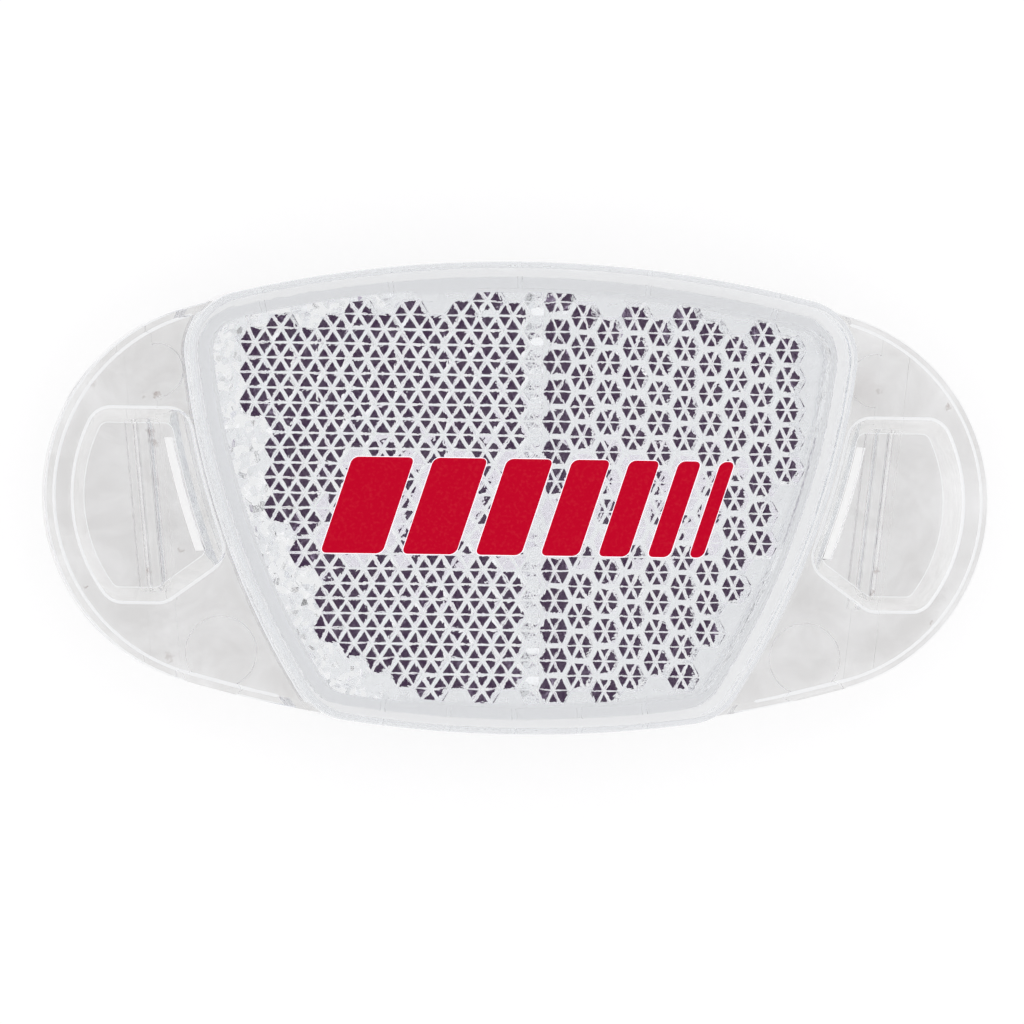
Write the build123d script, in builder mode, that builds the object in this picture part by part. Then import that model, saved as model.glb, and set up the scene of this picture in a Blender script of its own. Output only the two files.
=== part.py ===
from build123d import *
import os
from math import ceil, cos, degrees, floor, radians, sin, sqrt, tan

# Bicycle wheel reflector, clear acrylic, lying on its back: X along it, Y towards the rim, Z to the viewer.
# All sizes in millimetres.

# Oval of the two wings
wing_length = 95.5
wing_height = 46.7
wing_end_radius = 19.4
wing_back = 2.4
wing_thickness = 4.6
wing_front_chamfer = 0.8
wing_back_chamfer = 0.4

# Lens block in the middle: bowed sides that close in towards the hub
lens_side_radius = 80.4
lens_half_width = 34.4
lens_widest_y = 23.3
lens_corner_radius = 6.0
lens_proud = 0.35
lens_front_chamfer = 0.6
lens_back_chamfer = 0.3

# Walls of the hollow block, front to back
front_plate = 2.0
rear_plate = 1.9
lens_wall = 2.6
weld_ledge = 1.2
weld_clearance = 0.08
weld_notch_width = 0.5
weld_notch_depth = 0.6
weld_notches_per_side = 5
upper_notch_spacing = 13.0
lower_notch_spacing = 6.6
lens_gap = 0.4

# Cube-corner prisms, in two halves at a seam, one half turned about
pin_spacing = 3.0
pin_root = 0.1
pin_border = 0.45
left_pin_margin = 2.7
right_pin_margin = 1.3
edge_pin_margin = 0.6
seam_x = 2.0
left_first_column = 0.3
right_first_column = 1.66
first_row_y = -1.25

# Windows in the wings
window_top = 8.5
window_bottom = -10.9
window_rim = 2.7
window_lens_gap = 0.6
window_corner_radius = 2.4
window_draft = 23.0
window_floor = 1.2
window_slope_inset = 5.0
window_slope_y = -6.4
window_slope_angle = 36.0
slot_wall_gap = 0.15
slot_width = 0.9
slot_top = 5.6
slot_bottom = -5.7

# Spoke clips: two arms behind each window, and a shallow channel from there to the wing's edges
spoke_diameter = 2.0
spoke_clearance = 0.05
spoke_lens_gap = 2.5
spoke_lean = 6.0
spoke_drop = 0.9
clip_hold = 0.75
clip_mouth = 1.7
clip_wall = 0.65
channel_width = 2.9
channel_depth = 0.2

# Ejector-pin marks on the backs of the wings: X, Y and radius
ejector_depth = 0.15
upper_ejector = (36.5, 12.3, 2.7)
lower_ejector = (29.6, -15.8, 3.6)

# Cube corner of one prism: three edges from its apex, with the cube's diagonal upright
cube_edge = Vector(sqrt(2), 0, 1).normalized() * pin_spacing / sqrt(2)
edge_a, edge_b, edge_c = [cube_edge.rotate(Axis.Z, azimuth) for azimuth in (0, 120, 240)]
pin_rim = [edge_a, edge_a + edge_b, edge_b, edge_b + edge_c, edge_c, edge_c + edge_a]
pin_column_step = (edge_a - edge_b).X
pin_depth = max(corner.Z for corner in pin_rim) + pin_root

# Derived places
wing_front = wing_back + wing_thickness
front_pin_apex = rear_plate + pin_depth + lens_gap
front_plate_back = front_pin_apex + pin_depth
lens_front = front_plate_back + front_plate
end_centre_x = wing_length / 2 - wing_end_radius
half_height = wing_height / 2
long_radius = (end_centre_x**2 + half_height**2 - wing_end_radius**2) / (2 * (half_height - wing_end_radius))
long_centre_y = long_radius - half_height
lens_side_centre_x = lens_side_radius - lens_half_width
window_slope_start = (lens_half_width - window_slope_inset, window_slope_y)
spoke_half_spacing = lens_half_width + spoke_lens_gap
spoke_z = wing_back - spoke_drop
seat_radius = spoke_diameter / 2 + spoke_clearance
clip_radius = seat_radius + clip_wall
clip_length = window_top - window_bottom
clip_middle_y = (window_top + window_bottom) / 2
window_run = (wing_thickness - window_floor) * tan(radians(window_draft))
slot_radius = lens_side_radius + window_lens_gap + window_run + slot_wall_gap

# Outlines

with BuildSketch() as wing_outline:
    with Locations((0, -long_centre_y)):
        Circle(long_radius)
    with Locations((0, long_centre_y)):
        Circle(long_radius, mode=Mode.INTERSECT)
    offset(amount=-wing_end_radius, mode=Mode.REPLACE)
    offset(amount=wing_end_radius, mode=Mode.REPLACE)

with BuildSketch() as lens_outline:
    add(wing_outline.sketch)
    offset(amount=lens_proud, mode=Mode.REPLACE)
    for side in (-1, 1):
        with Locations((side * lens_side_centre_x, lens_widest_y)):
            Circle(lens_side_radius, mode=Mode.INTERSECT)
    offset(amount=-lens_corner_radius, mode=Mode.REPLACE)
    offset(amount=lens_corner_radius, mode=Mode.REPLACE)

with BuildSketch() as pin_outline:
    add(lens_outline.sketch)
    offset(amount=-(lens_wall + pin_border), mode=Mode.REPLACE)

with BuildSketch() as whole_pin_outline:
    add(pin_outline.sketch)
    offset(amount=-edge_pin_margin, mode=Mode.REPLACE)
    for side, margin in ((-1, left_pin_margin), (1, right_pin_margin)):
        with Locations((-side * lens_side_centre_x, lens_widest_y)):
            Circle(lens_side_radius - lens_wall - pin_border - margin, mode=Mode.INTERSECT)

# One prism: a rod whose outline is the cube's shadow, cut to the cube's corner, apex down on the XY plane

with BuildPart(Plane(origin=(0, 0, 0), x_dir=edge_a, z_dir=edge_c)) as cube:
    cube_size = 2 * cube_edge.length
    Box(cube_size, cube_size, cube_size, align=Align.MIN)

with BuildPart() as pin:
    with BuildSketch():
        Polygon(*[(corner.X, corner.Y) for corner in pin_rim], align=None)
    extrude(amount=pin_depth)
    add(cube.part, mode=Mode.INTERSECT)


def pin_spots(side, whole):
    """Places of one half's prisms: those well inside the field, or those that its border cuts off."""
    field = pin_outline.sketch.bounding_box()
    inner_field = whole_pin_outline.face()
    first_column = right_first_column if side > 0 else left_first_column
    turn = 0 if side > 0 else 180
    spots = []
    for column in range(ceil((field.max.X + abs(seam_x)) / pin_column_step) + 1):
        x = seam_x + side * (first_column + column * pin_column_step)
        column_y = first_row_y + (column % 2) * pin_spacing / 2
        first_row = floor((field.min.Y - column_y) / pin_spacing)
        last_row = ceil((field.max.Y - column_y) / pin_spacing)
        for row in range(first_row, last_row + 1):
            spot = (x, column_y + row * pin_spacing, 0)
            if inner_field.is_inside(spot) == whole:
                spots.append(Location(spot, (0, 0, turn)))
    return spots


def pin_half(side, whole):
    """One half's prisms, trimmed at the seam and the field's outline."""
    reach = wing_length
    with BuildPart() as half:
        with Locations(pin_spots(side, whole)):
            add(pin.part)
        with BuildSketch():
            add(pin_outline.sketch)
            with Locations((seam_x + side * reach / 2, 0)):
                Rectangle(reach, reach, mode=Mode.INTERSECT)
        extrude(amount=pin_depth, mode=Mode.INTERSECT)
    return half.part


with BuildPart() as whole_pins:
    for side in (-1, 1):
        add(pin_half(side, True))

with BuildPart() as border_pins:
    for side in (-1, 1):
        add(pin_half(side, False))

# Cutting and clip shapes for the right wing, mirrored for the left

spoke_plane = Plane(
    origin=(spoke_half_spacing + clip_middle_y * tan(radians(spoke_lean)), clip_middle_y, spoke_z),
    x_dir=(cos(radians(spoke_lean)), -sin(radians(spoke_lean)), 0),
    z_dir=(-sin(radians(spoke_lean)), -cos(radians(spoke_lean)), 0),
)

with BuildPart() as window:
    with BuildSketch(Plane.XY.offset(wing_front)):
        with Locations((end_centre_x, 0)):
            Circle(wing_end_radius - window_rim)
        with Locations((end_centre_x, (window_top + window_bottom) / 2)):
            Rectangle(2 * wing_end_radius, window_top - window_bottom, mode=Mode.INTERSECT)
        with Locations((-lens_side_centre_x, lens_widest_y)):
            Circle(lens_side_radius + window_lens_gap, mode=Mode.SUBTRACT)
        with Locations(Location(window_slope_start, -window_slope_angle)):
            Rectangle(wing_length, wing_height, align=(Align.CENTER, Align.MAX), mode=Mode.SUBTRACT)
        offset(amount=-window_corner_radius, mode=Mode.REPLACE)
        offset(amount=window_corner_radius, mode=Mode.REPLACE)
    extrude(amount=-(wing_thickness - window_floor), taper=window_draft)

with BuildPart() as slot:
    with BuildSketch(Plane.XY.offset(wing_back)):
        with Locations((-lens_side_centre_x, lens_widest_y)):
            Circle(slot_radius + slot_width)
            Circle(slot_radius, mode=Mode.SUBTRACT)
        with Locations((lens_half_width, (slot_top + slot_bottom) / 2)):
            Rectangle(lens_half_width, slot_top - slot_bottom, mode=Mode.INTERSECT)
    extrude(amount=window_floor)

with BuildPart() as clip:
    with BuildSketch(spoke_plane):
        with Locations((0, -clip_hold)):
            Rectangle(2 * clip_radius, clip_hold + spoke_drop, align=(Align.CENTER, Align.MIN))
    extrude(amount=clip_length / 2, both=True)

with BuildPart() as seat:
    with BuildSketch(spoke_plane):
        Circle(seat_radius)
        Rectangle(clip_mouth, 2 * clip_hold, align=(Align.CENTER, Align.MAX))
    extrude(amount=clip_length / 2, both=True)

with BuildPart() as channel:
    for end in (-1, 1):
        with BuildSketch(spoke_plane.offset(end * clip_length / 2)):
            Rectangle(channel_width, 2 * (spoke_drop + channel_depth))
        extrude(amount=end * wing_height)

with BuildPart() as weld_notches:
    for end, spacing in ((1, upper_notch_spacing), (-1, lower_notch_spacing)):
        ledge_radius = long_radius + lens_proud - lens_wall
        sweep = degrees(spacing / ledge_radius) * (weld_notches_per_side - 1)
        start = end * 90 - sweep / 2
        with Locations((0, -end * long_centre_y, rear_plate)):
            with PolarLocations(ledge_radius, weld_notches_per_side, start, sweep, endpoint=True):
                Box(
                    2 * weld_ledge,
                    weld_notch_width,
                    weld_notch_depth,
                    align=(Align.CENTER, Align.CENTER, Align.MIN),
                )

with BuildPart() as block:
    with BuildSketch():
        add(lens_outline.sketch)
    extrude(amount=lens_front)
    chamfer(block.edges().group_by(Axis.Z)[-1], lens_front_chamfer)
    chamfer(block.edges().group_by(Axis.Z)[0], lens_back_chamfer)

with BuildPart() as hollow:
    with BuildSketch():
        add(lens_outline.sketch)
        offset(amount=-lens_wall, mode=Mode.REPLACE)
    extrude(amount=front_plate_back)
    with BuildSketch():
        add(lens_outline.sketch)
        offset(amount=weld_ledge - lens_wall, mode=Mode.REPLACE)
    extrude(amount=rear_plate)
    add(weld_notches.part)

# Front shell: wings, clips, block walls, front face and its prisms

with BuildPart() as front_shell:
    with BuildSketch(Plane.XY.offset(wing_back)):
        add(wing_outline.sketch)
    extrude(amount=wing_thickness)
    chamfer(front_shell.edges().group_by(Axis.Z)[-1], wing_front_chamfer)
    chamfer(front_shell.edges().group_by(Axis.Z)[0], wing_back_chamfer)
    for cut in (window.part, channel.part):
        add(cut, mode=Mode.SUBTRACT)
        mirror(cut, about=Plane.YZ, mode=Mode.SUBTRACT)
    add(clip.part)
    mirror(clip.part, about=Plane.YZ)
    for cut in (seat.part, slot.part):
        add(cut, mode=Mode.SUBTRACT)
        mirror(cut, about=Plane.YZ, mode=Mode.SUBTRACT)
    with BuildSketch(Plane.XY.offset(wing_back)):
        for side in (-1, 1):
            for x, y, radius in (upper_ejector, lower_ejector):
                with Locations((side * x, y)):
                    Circle(radius)
    extrude(amount=ejector_depth, mode=Mode.SUBTRACT)
    add(block.part)
    add(hollow.part, mode=Mode.SUBTRACT)
    with Locations((0, 0, front_pin_apex)):
        add(whole_pins.part)
front_shell.part.label = "front_shell"

# Rear lens: flat plate that fills the rebate, with prisms facing into the block

with BuildPart() as rear_lens:
    with BuildSketch():
        add(lens_outline.sketch)
        offset(amount=weld_ledge - lens_wall - weld_clearance, mode=Mode.REPLACE)
    extrude(amount=rear_plate)
    for field in (whole_pins.part, border_pins.part):
        mirror(field, about=Plane.XY.offset((rear_plate + pin_depth) / 2))
rear_lens.part.label = "rear_lens"

os.makedirs("parts", exist_ok=True)
export_step(front_shell.part, "parts/front_shell.step")
export_step(rear_lens.part, "parts/rear_lens.step")
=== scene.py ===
import math

import bmesh
import bpy
from mathutils import Matrix, Vector


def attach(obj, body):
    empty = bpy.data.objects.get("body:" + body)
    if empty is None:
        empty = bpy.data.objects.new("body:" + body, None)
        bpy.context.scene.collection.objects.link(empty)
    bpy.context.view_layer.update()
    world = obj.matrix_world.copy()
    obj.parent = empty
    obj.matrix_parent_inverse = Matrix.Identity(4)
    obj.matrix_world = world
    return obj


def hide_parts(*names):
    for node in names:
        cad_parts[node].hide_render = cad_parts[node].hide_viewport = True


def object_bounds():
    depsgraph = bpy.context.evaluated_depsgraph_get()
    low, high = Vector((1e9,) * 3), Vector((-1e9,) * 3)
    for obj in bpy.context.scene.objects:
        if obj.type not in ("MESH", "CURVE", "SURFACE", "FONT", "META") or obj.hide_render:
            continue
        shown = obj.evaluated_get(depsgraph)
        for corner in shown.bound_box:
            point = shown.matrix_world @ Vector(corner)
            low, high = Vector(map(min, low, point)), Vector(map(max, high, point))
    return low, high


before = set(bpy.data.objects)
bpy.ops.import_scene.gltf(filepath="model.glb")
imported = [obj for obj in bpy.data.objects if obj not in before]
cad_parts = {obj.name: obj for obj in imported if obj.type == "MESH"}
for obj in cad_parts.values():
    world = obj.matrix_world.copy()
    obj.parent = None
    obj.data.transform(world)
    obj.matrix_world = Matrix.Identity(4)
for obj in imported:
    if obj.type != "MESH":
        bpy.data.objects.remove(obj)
cad_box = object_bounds()

# Front shell
# One clear acrylic moulding: the oval wings with their windows and spoke clips, the walls of the lens block
# and the front lens with its prisms. A mould leaves every edge a little round, so the prism edges shine.
MM = 0.001
wing_back = 2.4 * MM
window_floor = 3.6 * MM
wing_front = 7.0 * MM
lens_under = 7.4 * MM
seam_x = 2.0 * MM

# Share of a face's normal along Z, for a prism's facets, a chamfer and a wall
facet_upright = 1 / math.sqrt(3)
chamfer_upright = 1 / math.sqrt(2)
wall_upright = 0
upright_tolerance = 0.01
facing_up = 0.1

# Rounding of the prism edges in each half of the field, level where an edge runs along X, and of other edges
left_rounds = {
    "ridge": 0.26 * MM, "level_ridge": 0.17 * MM, "valley": 0.2 * MM, "level_valley": 0.16 * MM,
}
right_rounds = {
    "ridge": 0.22 * MM, "level_ridge": 0.12 * MM, "valley": 0.38 * MM, "level_valley": 0.36 * MM,
}
level_slope = 0.1
chamfer_round = 0.18 * MM
window_round = 0.22 * MM
floor_round = 0.05 * MM
ejector_depth = 0.15 * MM
ejector_round = 0.07 * MM
widest_round = max(right_rounds.values())
round_segments = 3
weight_layer = "bevel_weight_edge"
sharp_angle = math.radians(30)
flat_angle = math.radians(1)
level_tolerance = 0.002 * MM
weld_distance = 0.0001 * MM

# Finishes of the shell, in the order of its materials
polished_finish = 0
crumbed_finish = 1
# The handled finish is a dirt film that also paints shade onto the wings
handled_and_painted_shade_finish = 2

acrylic_colour = "#FBFCFD"
acrylic_ior = 1.49
sink_size = 1.2 * MM
sink_depth = 0.045 * MM

# Grey film on the wings: partly hand and road dirt in smears, partly painted shade of the board seen through
# them
thin_film_and_painted_shade = "#EFEEED"
thick_film_and_painted_shade = "#D7D5D3"
film_clear = 0.97
film_roughness = 0.02
smear_size = 6 * MM
smear_noise = {"Detail": 4.0, "Roughness": 0.6, "Distortion": 0.5}
smear_starts = 0.35
smear_full = 0.65

# Rust specks: X, Y and radius in millimetres, and strength
rust_specks = [
    (-36.8, 9.8, 0.5, 0.6), (-38.1, 9.6, 0.3, 0.3), (-37.0, 6.1, 0.45, 0.5), (-36.6, 5.1, 0.5, 0.4),
    (-37.0, -7.7, 0.35, 0.5), (-33.7, -5.7, 0.4, 0.35), (-43.2, 10.7, 0.6, 0.25), (-43.6, -9.5, 0.25, 0.5),
    (-35.2, -16.3, 0.6, 0.3), (34.7, 11.5, 2.4, 0.14), (36.2, 11.2, 0.4, 0.3), (43.3, 9.7, 0.35, 0.5),
    (36.9, -6.8, 0.35, 0.5), (36.5, -9.2, 0.3, 0.5), (42.0, -12.0, 0.25, 0.4),
]
rust_colour = "#86685A"
rust_clear = 0.7
rust_core = 0.3
rust_grain = 0.5 * MM
rust_detail = 3.0
rust_ragged = 1.4 * MM

crumb_size = 0.55 * MM
crumb_lean = 2.2
crumb_middle = (0.5, 0.5, 0.5)
crumbs_full = -18 * MM
crumbs_none = -10 * MM


def linear(hex_colour):
    """An sRGB hex colour as linear RGBA."""
    channels = [int(hex_colour[i:i + 2], 16) / 255 for i in (1, 3, 5)]
    return [c / 12.92 if c <= 0.04045 else ((c + 0.055) / 1.055) ** 2.4 for c in channels] + [1.0]


def add_node(tree, kind, inputs=None, **settings):
    """A shader node with its settings, and each input set to a value or linked to another node's output."""
    made = tree.nodes.new(kind)
    for name, value in settings.items():
        setattr(made, name, value)
    for socket, value in (inputs or {}).items():
        if isinstance(value, bpy.types.NodeSocket):
            tree.links.new(value, made.inputs[socket])
        else:
            made.inputs[socket].default_value = value
    return made


def piece(name, mesh_data):
    """A finished piece at the origin, riding on the reflector's one body."""
    mesh = bpy.data.meshes.new(name)
    mesh_data.to_mesh(mesh)
    mesh_data.free()
    made = bpy.data.objects.new(name, mesh)
    bpy.context.scene.collection.objects.link(made)
    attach(made, "root")
    return made


def span(face):
    """The lowest and highest point of a face."""
    heights = [vert.co.z for vert in face.verts]
    return min(heights), max(heights)


def is_upright(face, upright):
    """Whether a face's normal has the given share along Z."""
    return abs(abs(face.normal.z) - upright) < upright_tolerance


def prism_round(edge):
    """How far an edge of the prism field is rounded, by its half, its kind and whether it runs along X."""
    start, end = (vert.co for vert in edge.verts)
    rounds = left_rounds if start.x < seam_x else right_rounds
    kind = "ridge" if edge.is_convex else "valley"
    along_x = abs(end.y - start.y) < level_slope * abs(end.x - start.x)
    return rounds["level_" + kind if along_x else kind]


def meets_block(edge):
    """Whether an edge of the wings runs into the wall of the lens block."""
    low = min(vert.co.z for vert in edge.verts)
    faces = {face for vert in edge.verts for face in vert.link_faces}
    return low < wing_front + weld_distance and any(
        is_upright(face, wall_upright) and span(face)[1] > wing_front + weld_distance for face in faces)


def rims_ejector(edge):
    """Whether an edge runs round the shallow mark that an ejector pin left on the back of the wings."""
    for face in edge.link_faces:
        low, high = span(face)
        if abs(low - wing_back) < level_tolerance and abs(high - low - ejector_depth) < level_tolerance:
            return True
    return False


def mould_round(edge):
    """How far an edge is rounded, by the faces it joins and its height."""
    if all(is_upright(face, facet_upright) for face in edge.link_faces):
        return prism_round(edge)
    low, high = sorted(vert.co.z for vert in edge.verts)
    if any(is_upright(face, chamfer_upright) for face in edge.link_faces):
        return chamfer_round if low > window_floor and not meets_block(edge) else 0
    if high - low > weld_distance:
        return 0
    if abs(low - wing_front) < weld_distance:
        return window_round
    if abs(low - window_floor) < weld_distance:
        return 0 if edge.is_convex else floor_round
    return ejector_round if rims_ejector(edge) else 0


def moulding_of(node):
    """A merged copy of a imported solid, with each edge's rounding noted as a bevel weight."""
    moulding = bmesh.new()
    moulding.from_mesh(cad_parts[node].data)
    bmesh.ops.remove_doubles(moulding, verts=moulding.verts, dist=weld_distance)
    bmesh.ops.dissolve_limit(moulding, angle_limit=flat_angle, verts=moulding.verts, edges=moulding.edges)
    bmesh.ops.connect_verts_concave(moulding, faces=moulding.faces)
    for face in moulding.faces:
        face.smooth = True
    weight = moulding.edges.layers.float.new(weight_layer)
    for edge in moulding.edges:
        if edge.calc_face_angle() > sharp_angle:
            edge[weight] = mould_round(edge) / widest_round
    return moulding


def rounded_piece(name, moulding, finishes):
    """A moulded piece with its edges rounded by their weights and polished, and its flat faces left flat."""
    made = piece(name, moulding)
    if "custom_normal" in made.data.attributes:
        made.data.attributes.remove(made.data.attributes["custom_normal"])
    rounding = made.modifiers.new("mould_radii", "BEVEL")
    rounding.width = widest_round
    rounding.limit_method = "WEIGHT"
    rounding.offset_type = "OFFSET"
    rounding.segments = round_segments
    rounding.profile = 0.5
    rounding.use_clamp_overlap = False
    rounding.loop_slide = False
    rounding.material = polished_finish
    made.data.set_sharp_from_angle(angle=sharp_angle)
    weighted = made.modifiers.new("flat_faces", "WEIGHTED_NORMAL")
    weighted.keep_sharp = True
    for finish in finishes:
        made.data.materials.append(finish)
    return made


def acrylic(name):
    """Clear acrylic, colourless and sharp to look through."""
    material = bpy.data.materials.new(name)
    material.use_nodes = True
    shader = material.node_tree.nodes["Principled BSDF"]
    shader.inputs["Base Color"].default_value = linear(acrylic_colour)
    shader.inputs["Roughness"].default_value = 0.0
    shader.inputs["IOR"].default_value = acrylic_ior
    shader.inputs["Transmission Weight"].default_value = 1.0
    return material


def polished_acrylic():
    """Acrylic from the polished faces of the mould, which shrinks a little unevenly as it sets."""
    material = acrylic("clear_acrylic_polished")
    tree = material.node_tree
    place = add_node(tree, "ShaderNodeTexCoord").outputs["Object"]
    sinks = add_node(tree, "ShaderNodeTexNoise", {"Vector": place, "Scale": 1 / sink_size})
    bump = add_node(tree, "ShaderNodeBump", {"Distance": sink_depth, "Height": sinks.outputs["Fac"]})
    tree.links.new(bump.outputs["Normal"], tree.nodes["Principled BSDF"].inputs["Normal"])
    return material


def rust_cover(tree, place):
    """How much rust covers a point: the strongest of the specks, each broken up at its edge."""
    crumble = add_node(tree, "ShaderNodeTexNoise", {
        "Vector": place, "Scale": 1 / rust_grain, "Detail": rust_detail,
    })
    ragged = add_node(tree, "ShaderNodeVectorMath", {
        0: crumble.outputs["Color"], 1: (rust_ragged, rust_ragged, 0), 2: place,
    }, operation="MULTIPLY_ADD")
    flat = add_node(tree, "ShaderNodeVectorMath", {
        0: ragged.outputs[0], 1: (1, 1, 0),
    }, operation="MULTIPLY")
    cover = 0.0
    for x, y, radius, strength in rust_specks:
        middle = (x * MM + rust_ragged / 2, y * MM + rust_ragged / 2, 0)
        reach = add_node(tree, "ShaderNodeVectorMath", {
            0: flat.outputs[0], 1: middle,
        }, operation="DISTANCE")
        speck = add_node(tree, "ShaderNodeMapRange", {
            "Value": reach.outputs["Value"], "From Min": radius * MM, "From Max": rust_core * radius * MM,
            "To Max": strength,
        })
        most = add_node(tree, "ShaderNodeMath", {
            0: cover, 1: speck.outputs["Result"],
        }, operation="MAXIMUM")
        cover = most.outputs[0]
    return cover


def handled_acrylic_painted_shade():
    """Acrylic with a grey film: smears of hand and road dirt, and painted shade of the board seen through
    the wings; and a few faint specks of rust.
    """
    material = acrylic("clear_acrylic_handled_painted_shade")
    tree = material.node_tree
    shader = tree.nodes["Principled BSDF"]
    place = add_node(tree, "ShaderNodeTexCoord").outputs["Object"]
    smears = add_node(tree, "ShaderNodeTexNoise", {"Vector": place, "Scale": 1 / smear_size, **smear_noise})
    thick = add_node(tree, "ShaderNodeMapRange", {
        "Value": smears.outputs["Fac"], "From Min": smear_starts, "From Max": smear_full,
    })
    # Painted shade and dirt: the film greys what is seen through the wings
    film_and_painted_shade = add_node(tree, "ShaderNodeMix", {
        "Factor": thick.outputs["Result"], "A": linear(thin_film_and_painted_shade), "B": linear(thick_film_and_painted_shade),
    }, data_type="RGBA")
    cover = rust_cover(tree, place)
    colour = add_node(tree, "ShaderNodeMix", {
        "Factor": cover, "A": film_and_painted_shade.outputs["Result"], "B": linear(rust_colour),
    }, data_type="RGBA")
    clear = add_node(tree, "ShaderNodeMapRange", {
        "Value": cover, "To Min": film_clear, "To Max": rust_clear,
    })
    tree.links.new(colour.outputs["Result"], shader.inputs["Base Color"])
    tree.links.new(clear.outputs["Result"], shader.inputs["Transmission Weight"])
    shader.inputs["Roughness"].default_value = film_roughness
    return material


def crumbed_acrylic():
    """Acrylic beside the prisms: in the left half, crumbs of half-filled prisms glint this way and that."""
    material = acrylic("clear_acrylic_crumbed")
    tree = material.node_tree
    place = add_node(tree, "ShaderNodeTexCoord")
    crumbs = add_node(tree, "ShaderNodeTexVoronoi", {
        "Vector": place.outputs["Object"], "Scale": 1 / crumb_size,
    })
    lean = add_node(tree, "ShaderNodeVectorMath", {
        0: crumbs.outputs["Color"], 1: crumb_middle,
    }, operation="SUBTRACT")
    across = add_node(tree, "ShaderNodeSeparateXYZ", {0: place.outputs["Object"]})
    steepness = add_node(tree, "ShaderNodeMapRange", {
        "Value": across.outputs["X"], "From Min": crumbs_full, "From Max": crumbs_none,
        "To Min": crumb_lean, "To Max": 0.0,
    })
    tilt = add_node(tree, "ShaderNodeVectorMath", {
        0: lean.outputs[0], "Scale": steepness.outputs["Result"],
    }, operation="SCALE")
    leaning = add_node(tree, "ShaderNodeVectorMath", {
        0: tilt.outputs[0], 1: place.outputs["Normal"],
    }, operation="ADD")
    normal = add_node(tree, "ShaderNodeVectorMath", {0: leaning.outputs[0]}, operation="NORMALIZE")
    tree.links.new(normal.outputs[0], tree.nodes["Principled BSDF"].inputs["Normal"])
    return material


def shell_finish(face):
    """A shell face's finish: crumbed under the front lens, handled with painted shade on the wings, polished
    elsewhere.
    """
    low, high = span(face)
    if high - low < level_tolerance and abs(low - lens_under) < level_tolerance:
        return crumbed_finish
    on_wings = low > window_floor - level_tolerance and high < wing_front + level_tolerance
    return handled_and_painted_shade_finish if on_wings and face.normal.z > facing_up else polished_finish


polished = polished_acrylic()
shell_moulding = moulding_of("front_shell")
for face in shell_moulding.faces:
    face.material_index = shell_finish(face)
shell_finishes = [polished, crumbed_acrylic(), handled_acrylic_painted_shade()]
shell = rounded_piece("clear_front_shell", shell_moulding, shell_finishes)
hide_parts("front_shell")

# Rear lens
# A flat plate of the same clear acrylic with its prisms facing in, welded into the shell's rebate behind.
# The weld sinks its rim a hair into the shell. No rounding passes a third of the shortest edge beside it.
rear_plate = 1.9 * MM
weld_overlap = 0.01 * MM
stub_share = 3

rear_moulding = moulding_of("rear_lens")
weight = rear_moulding.edges.layers.float[weight_layer]
for edge in rear_moulding.edges:
    shortest = min(near.calc_length() for vert in edge.verts for near in vert.link_edges)
    edge[weight] = min(edge[weight], shortest / stub_share / widest_round)
for vert in rear_moulding.verts:
    if abs(vert.co.z - rear_plate) < weld_overlap / 2:
        vert.co.z += weld_overlap
lens = rounded_piece("clear_rear_lens", rear_moulding, [polished])
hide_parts("rear_lens")

# Printed mark
# Pad-printed ink on the front lens: red over a white base coat, a row of slanted bars that grow thinner.
# The base coat is a hair wider than the red, and from behind the prisms show its white, brightened by a
# painted glow.
bar_widths = [6.4 * MM, 5.6 * MM, 4.8 * MM, 4.0 * MM, 3.2 * MM, 2.4 * MM, 1.6 * MM]
bar_height = 9.8 * MM
bar_gap = 1.8 * MM
bar_slant = math.radians(18)
bar_corner = 0.7 * MM
corner_segments = 6
mark_centre = Vector((0.5 * MM, -0.9 * MM))
coat_rim = 0.07 * MM
ink_sunk = 0.004 * MM
ink_proud = 0.012 * MM
red_face = 0
coat_face = 1
ink_roughness = 0.4
ink_specular = 0.1
ink_grain = 0.3 * MM
grain_starts = 0.5
grain_full = 0.75
red_thick = "#DC002C"
red_thin = "#E21A34"
coat_and_painted_glow_colour = "#F6F3FA"
# Strength of the painted glow on the white coat, standing in for light that reaches its underside
painted_coat_glow = 0.55


def printed_bars():
    """The bars as one thin layer: white coat below, round the sides and as a rim on top, with red inside."""
    bars = bmesh.new()
    lens_front = cad_box[1][2]
    lean = bar_height * math.tan(bar_slant)
    length = sum(bar_widths) + bar_gap * (len(bar_widths) - 1)
    left = mark_centre.x - length / 2
    for width in bar_widths:
        corners = [
            (left - lean / 2, -bar_height / 2), (left + width - lean / 2, -bar_height / 2),
            (left + width + lean / 2, bar_height / 2), (left + lean / 2, bar_height / 2),
        ]
        ring = [bars.verts.new((x, y + mark_centre.y, lens_front - ink_sunk)) for x, y in corners]
        bars.faces.new(ring)
        left += width + bar_gap
    bmesh.ops.bevel(
        bars, geom=bars.verts[:], offset=bar_corner, offset_type="OFFSET", segments=corner_segments,
        profile=0.5, affect="VERTICES", clamp_overlap=True, material=-1,
    )
    under = bars.faces[:]
    raised = bmesh.ops.extrude_face_region(bars, geom=under, use_keep_orig=True)["geom"]
    tops = [part for part in raised if isinstance(part, bmesh.types.BMFace)]
    top_verts = list({vert for face in tops for vert in face.verts})
    bmesh.ops.translate(bars, verts=top_verts, vec=(0, 0, ink_sunk + ink_proud))
    bmesh.ops.recalc_face_normals(bars, faces=bars.faces)
    bmesh.ops.inset_region(bars, faces=tops, thickness=coat_rim)
    for face in bars.faces:
        face.material_index = red_face if face in tops else coat_face
    return bars


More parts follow.
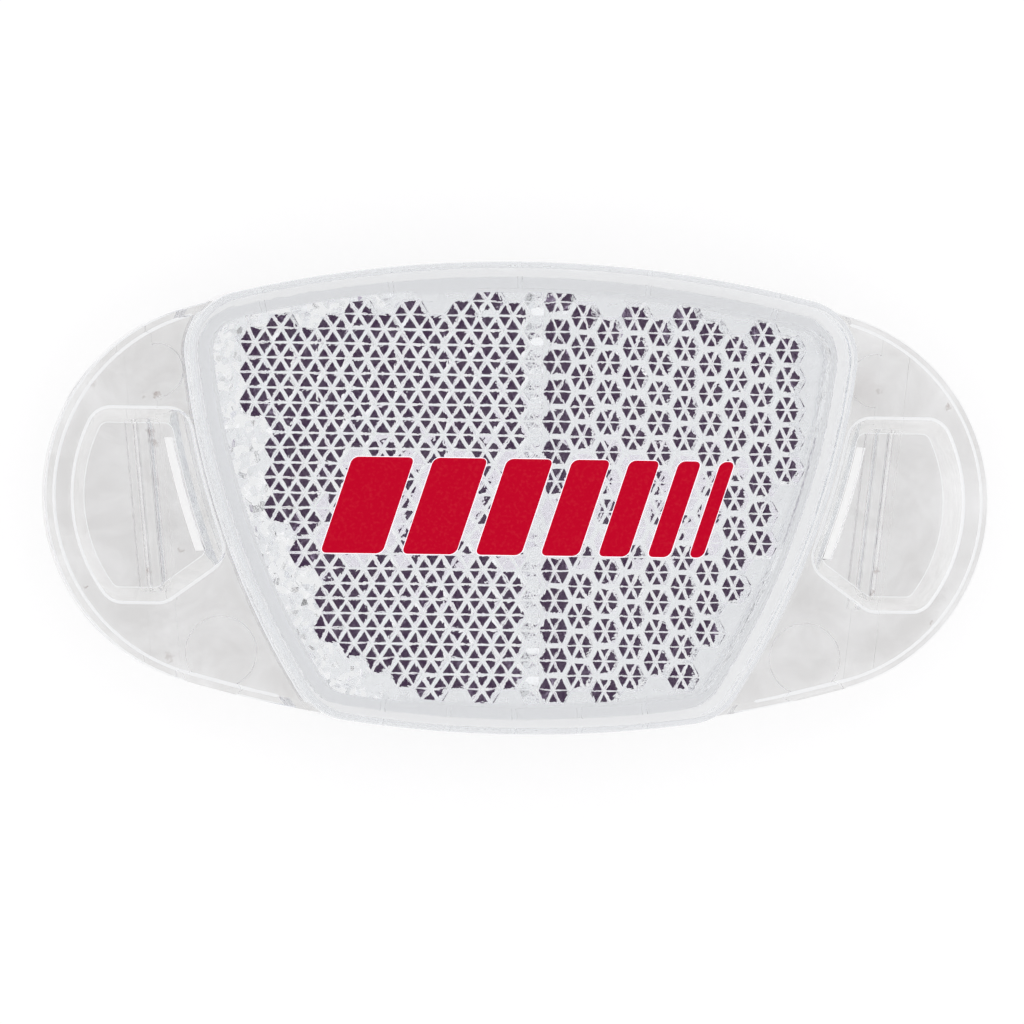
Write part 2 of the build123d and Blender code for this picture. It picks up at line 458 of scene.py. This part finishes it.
def ink(name, hex_colour):
    """Solvent ink, cured to a soft gloss and opaque."""
    material = bpy.data.materials.new(name)
    material.use_nodes = True
    shader = material.node_tree.nodes["Principled BSDF"]
    shader.inputs["Base Color"].default_value = linear(hex_colour)
    shader.inputs["Roughness"].default_value = ink_roughness
    shader.inputs["Specular IOR Level"].default_value = ink_specular
    return material


def red_ink():
    """Red ink that lies a little thinner in grains, as a soft pad leaves it."""
    material = ink("red_pad_print_ink", red_thick)
    tree = material.node_tree
    place = add_node(tree, "ShaderNodeTexCoord").outputs["Object"]
    grain = add_node(tree, "ShaderNodeTexNoise", {"Vector": place, "Scale": 1 / ink_grain})
    thinner = add_node(tree, "ShaderNodeMapRange", {
        "Value": grain.outputs["Fac"], "From Min": grain_starts, "From Max": grain_full,
    })
    colour = add_node(tree, "ShaderNodeMix", {
        "Factor": thinner.outputs["Result"], "A": linear(red_thick), "B": linear(red_thin),
    }, data_type="RGBA")
    tree.links.new(colour.outputs["Result"], tree.nodes["Principled BSDF"].inputs["Base Color"])
    return material


def painted_glow_coat_ink():
    """White ink under the red, with a painted glow in place of the light that the clear lens carries to its
    underside.
    """
    material = ink("white_coat_ink_painted_glow", coat_and_painted_glow_colour)
    shader = material.node_tree.nodes["Principled BSDF"]
    # Painted glow: the coat gives off its own white in place of light coming through the lens
    shader.inputs["Emission Color"].default_value = linear(coat_and_painted_glow_colour)
    shader.inputs["Emission Strength"].default_value = painted_coat_glow
    return material


mark = piece("printed_mark", printed_bars())
mark.data.materials.append(red_ink())
mark.data.materials.append(painted_glow_coat_ink())

# Studio
# A white sweep under the reflector in a light tent: bright round the sides, with a dark top round the
# camera, which the prisms send back to it.
floor_size = 4000 * MM
floor_clearance = 0.05 * MM
floor_glow = 0.8
floor_colour = "#969696"
white = "#FFFFFF"
tent_top = "#48364E"
tent_edge = "#B6A6C0"
tent_edge_at = 0.5
tent_side_strength = 0.9
tent_dark_angle = math.radians(9)
tent_bright_angle = math.radians(32)


def white_sweep():
    """Matt white board: white to the eye and through the acrylic, and it still takes a soft shadow."""
    material = bpy.data.materials.new("white_sweep_board")
    material.use_nodes = True
    tree = material.node_tree
    board = tree.nodes["Principled BSDF"]
    board.inputs["Base Color"].default_value = linear(floor_colour)
    board.inputs["Roughness"].default_value = 1.0
    board.inputs["Specular IOR Level"].default_value = 0.0
    path = add_node(tree, "ShaderNodeLightPath")
    outside = add_node(tree, "ShaderNodeMath", {
        0: path.outputs["Is Camera Ray"], 1: path.outputs["Is Glossy Ray"],
    }, operation="MAXIMUM")
    seen = add_node(tree, "ShaderNodeMath", {
        0: outside.outputs[0], 1: path.outputs["Is Transmission Ray"],
    }, operation="MAXIMUM")
    glow = add_node(tree, "ShaderNodeMath", {0: seen.outputs[0], 1: floor_glow}, operation="MULTIPLY")
    board.inputs["Emission Color"].default_value = linear(white)
    tree.links.new(glow.outputs[0], board.inputs["Emission Strength"])
    return material


board = bmesh.new()
bmesh.ops.create_grid(board, x_segments=1, y_segments=1, size=floor_size / 2)
bmesh.ops.translate(board, verts=board.verts, vec=(0, 0, cad_box[0][2] - floor_clearance))
board_mesh = bpy.data.meshes.new("sweep")
board.to_mesh(board_mesh)
board.free()
sweep = bpy.data.objects.new("sweep", board_mesh)
bpy.context.scene.collection.objects.link(sweep)
sweep.data.materials.append(white_sweep())

tent = bpy.data.worlds.new("light_tent")
bpy.context.scene.world = tent
tent.use_nodes = True
tree = tent.node_tree
way = add_node(tree, "ShaderNodeTexCoord")
height = add_node(tree, "ShaderNodeSeparateXYZ", {0: way.outputs["Generated"]})
top = add_node(tree, "ShaderNodeMapRange", {
    "Value": height.outputs["Z"],
    "From Min": math.cos(tent_bright_angle),
    "From Max": math.cos(tent_dark_angle),
}, interpolation_type="SMOOTHSTEP")
path = add_node(tree, "ShaderNodeLightPath")
unseen = add_node(tree, "ShaderNodeMath", {
    0: 1.0, 1: path.outputs["Is Camera Ray"],
}, operation="SUBTRACT")
dark = add_node(tree, "ShaderNodeMath", {
    0: top.outputs["Result"], 1: unseen.outputs[0],
}, operation="MULTIPLY")
colour = add_node(tree, "ShaderNodeValToRGB", {0: dark.outputs[0]})
colour.color_ramp.elements[0].color = linear(white)
colour.color_ramp.elements[1].color = linear(tent_top)
colour.color_ramp.elements.new(tent_edge_at).color = linear(tent_edge)
strength = add_node(tree, "ShaderNodeMapRange", {
    "Value": unseen.outputs[0], "To Min": 1.0, "To Max": tent_side_strength,
})
tree.links.new(colour.outputs["Color"], tree.nodes["Background"].inputs["Color"])
tree.links.new(strength.outputs["Result"], tree.nodes["Background"].inputs["Strength"])

# Camera
# A long lens straight above, a little to the left, as the photograph has it. Light bounces often enough to
# find its way through both prism fields.
camera_distance = 1200 * MM
camera_lens = 420
camera_left = math.radians(7.6)
camera_roll = math.radians(0.8)
camera_target = Vector((-0.53 * MM, -1.4 * MM, 5.0 * MM))
light_bounces = 28
glossy_bounces = 16

scene = bpy.context.scene
camera = bpy.data.objects.new("camera", bpy.data.cameras.new("camera"))
scene.collection.objects.link(camera)
camera.data.lens = camera_lens
back = Vector((-math.sin(camera_left), 0, math.cos(camera_left))).normalized()
up = Matrix.Rotation(camera_roll, 3, "Z") @ Vector((0, 1, 0))
right = up.cross(back).normalized()
up = back.cross(right)
place = Matrix((right, up, back)).transposed().to_4x4()
place.translation = camera_target + back * camera_distance
camera.matrix_world = place
scene.camera = camera
scene.view_settings.view_transform = "Standard"
scene.cycles.max_bounces = light_bounces
scene.cycles.transmission_bounces = light_bounces
scene.cycles.glossy_bounces = glossy_bounces
